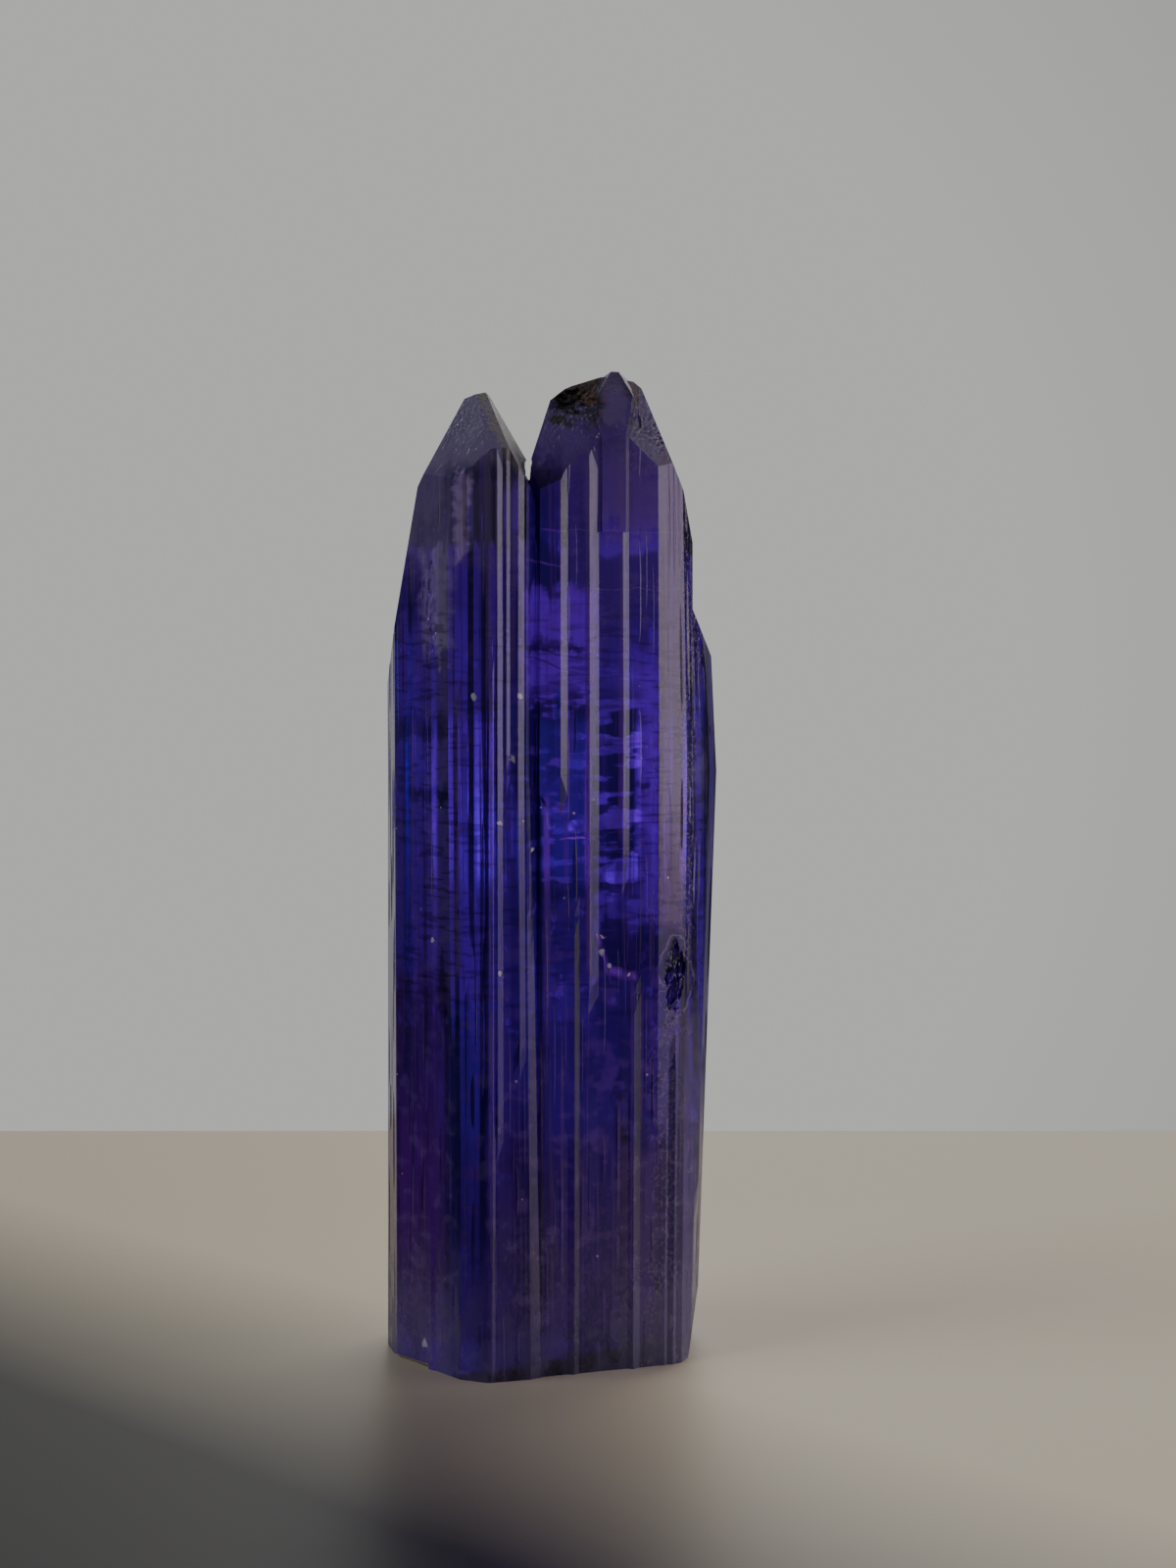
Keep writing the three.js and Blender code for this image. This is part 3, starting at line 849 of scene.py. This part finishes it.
def lay_stain(make):
    """The brown stain on the taller tip, and the brown specks beside its rib."""
    rusty = make.grain((1.3, 1.3, 1.3), 4.0, 11.0)
    edge = make.shifted(make.z, make.ragged, 4.0)
    stain = make.times(make.band(make.uneven_x, 0.1, 2.6, 0.5), make.rise(edge, 47.3, 47.9))
    speckle = make.times(
        make.band(make.x, 3.7, 5.3, 0.4), make.rise(edge, 47.6, 48.2), make.rise(rusty, 0.45, 0.55, 0.8)
    )
    soil = make.most(stain, speckle)
    orange = make.times(make.rise(rusty, 0.47, 0.6), make.rise(make.x, 0.9, 2.0))
    make.lay(soil, make.blend(orange, SOIL_BLACK, RUST_BROWN), 0.05)
    return soil


def surface_relief(make, silk):
    """Fine upright silk, with loose grit on the tips."""
    grit = make.times(make.rise(make.z, 45.0, 48.0, 2.5), make.grain((5, 5, 5), 2.0))
    height = make.shifted(grit, silk, 0.4)
    return make.add("ShaderNodeBump", {"Height": height, "Strength": 0.5, "Distance": 0.00005}).outputs[0]


def tanzanite_finish():
    """Violet-blue see-through crystal with painted reflections as pale streaks, a painted glow of light
    coming through, painted shade and painted glints, haze at its ends and a brown stain.
    """
    make = CrystalFinish("tanzanite")
    silk = make.rise(make.grain((4.0, 4.0, 0.05), 4.0), 0.56, 0.76)
    inner_cloud(make)
    rear_colour, rear_clear = rear_coat(make)
    # Grey veils, with a painted glow of light coming through, painted shade and a painted reflection of
    # the window
    lay_patches(make, VEILS_AND_PAINTED_LIGHT)
    lay_veils(make)
    lay_flecks(make)
    lay_patches(make, SHADOWS)
    lay_cracks(make)
    lay_rims(make)
    # Painted reflections of the window, as pale streaks, with the silk between them
    lay_reflection_streaks(make, silk)
    lay_sand(make)
    # Painted glints: small bright spots
    lay_painted_glints(make)
    front = make.rise(make.y, 0.6, -1.2)
    make.colour = make.blend(front, rear_colour, make.colour)
    make.clear = make.level(front, rear_clear, make.clear)
    lay_specks(make)
    roughened = make.most(lay_haze(make), lay_crumb(make), lay_stain(make))
    shader = make.add(
        "ShaderNodeBsdfPrincipled",
        {
            "Base Color": make.colour,
            "Roughness": make.shifted(SMOOTHNESS, roughened, SOILED_ROUGHNESS),
            "IOR": REFRACTION,
            "Transmission Weight": make.clear,
            "Normal": surface_relief(make, silk),
        },
    )
    depth = make.add("ShaderNodeVolumeAbsorption", {"Color": DEPTH_COLOUR, "Density": DEPTH_DENSITY})
    output = make.add("ShaderNodeOutputMaterial")
    make.links.new(shader.outputs[0], output.inputs["Surface"])
    make.links.new(depth.outputs[0], output.inputs["Volume"])
    return make.material


# Stage

FLOOR_SIZE = 0.6
FLOOR_BACK = 0.055
# The colour of the floor's painted shade
TABLE_PAINTED_SHADE = (0.02, 0.018, 0.018, 1.0)
TABLE_PALE = (0.72, 0.64, 0.46, 1.0)
BACKDROP_DARK = (0.04, 0.04, 0.05, 1.0)
BACKDROP_PALE = (0.5, 0.5, 0.49, 1.0)
LAMP_AIM = Vector((0.0, 0.0, HEIGHT / 2 * MM))
CAMERA_PLACE = (0.0019, -0.1121, 0.0344)
CAMERA_DIP = 2.58


def shaded(tree, direction, slope, low, high, dark, light):
    """A colour that goes from dark to light as y plus slope times x goes from low to high."""
    nodes, links = tree.nodes, tree.links
    place = nodes.new("ShaderNodeSeparateXYZ")
    slant = nodes.new("ShaderNodeMath")
    fade = nodes.new("ShaderNodeMapRange")
    tone = nodes.new("ShaderNodeMix")
    slant.operation = "MULTIPLY_ADD"
    slant.inputs[1].default_value = slope
    fade.inputs["From Min"].default_value = low
    fade.inputs["From Max"].default_value = high
    tone.data_type = "RGBA"
    tone.inputs[6].default_value = dark
    tone.inputs[7].default_value = light
    links.new(nodes.new("ShaderNodeTexCoord").outputs[direction], place.inputs[0])
    links.new(place.outputs["X"], slant.inputs[0])
    links.new(place.outputs["Y"], slant.inputs[2])
    links.new(slant.outputs[0], fade.inputs["Value"])
    links.new(fade.outputs[0], tone.inputs[0])
    return tone.outputs[2]


def floor():
    """A pale floor with painted shade, dark in front and to the left so that the faces there reflect
    little.
    """
    left, right, near = -FLOOR_SIZE, FLOOR_SIZE, -FLOOR_SIZE
    corners = [(left, near, 0), (right, near, 0), (right, FLOOR_BACK, 0), (left, FLOOR_BACK, 0)]
    made = placed("floor", mesh_of(corners, [(0, 1, 2, 3)]))
    finish = bpy.data.materials.new("pale table with painted shade")
    finish.use_nodes = True
    shader = finish.node_tree.nodes["Principled BSDF"]
    # Painted shade on the floor, in front and to the left
    tone = shaded(finish.node_tree, "Object", 0.9, -0.03, 0.0, TABLE_PAINTED_SHADE, TABLE_PALE)
    finish.node_tree.links.new(tone, shader.inputs["Base Color"])
    shader.inputs["Roughness"].default_value = 0.45
    made.data.materials.append(finish)


def studio():
    """A pale backdrop that is dark behind the camera."""
    world = bpy.data.worlds.new("studio")
    world.use_nodes = True
    tone = shaded(world.node_tree, "Generated", -0.15, 0.6, 0.95, BACKDROP_DARK, BACKDROP_PALE)
    world.node_tree.links.new(tone, world.node_tree.nodes["Background"].inputs["Color"])
    bpy.context.scene.world = world


def softbox(name, at, size, power, colour):
    """A lamp that faces the middle of the crystal and stays out of sight itself."""
    lamp = bpy.data.lights.new(name, "AREA")
    lamp.shape = "RECTANGLE"
    lamp.size, lamp.size_y = size
    lamp.energy = power
    lamp.color = colour
    holder = bpy.data.objects.new(name, lamp)
    holder.location = at
    holder.rotation_euler = (LAMP_AIM - Vector(at)).to_track_quat("-Z", "Y").to_euler()
    holder.visible_camera = False
    bpy.context.scene.collection.objects.link(holder)


def lighting():
    softbox("window right", (0.42, -0.05, 0.08), (0.34, 0.5), 0.8, (1.0, 0.88, 0.97))
    softbox("fill above", (-0.36, -0.13, 0.45), (0.24, 0.24), 0.8, (0.95, 0.93, 1.0))
    softbox("window behind", (0.15, 0.4, 0.38), (0.5, 0.35), 1.2, (1.0, 0.98, 0.94))
    softbox("glow behind", (0.001, 0.03, 0.027), (0.009, 0.01), 0.00032, (1.0, 0.85, 1.0))


def camera():
    view = bpy.data.cameras.new("camera")
    view.lens = 50
    view.clip_start = 0.005
    holder = bpy.data.objects.new("camera", view)
    holder.location = CAMERA_PLACE
    holder.rotation_euler = (math.radians(90 - CAMERA_DIP), 0, 0)
    bpy.context.scene.collection.objects.link(holder)
    bpy.context.scene.camera = holder


tanzanite = tanzanite_finish()
crystal_piece()
floor()
studio()
lighting()
camera()
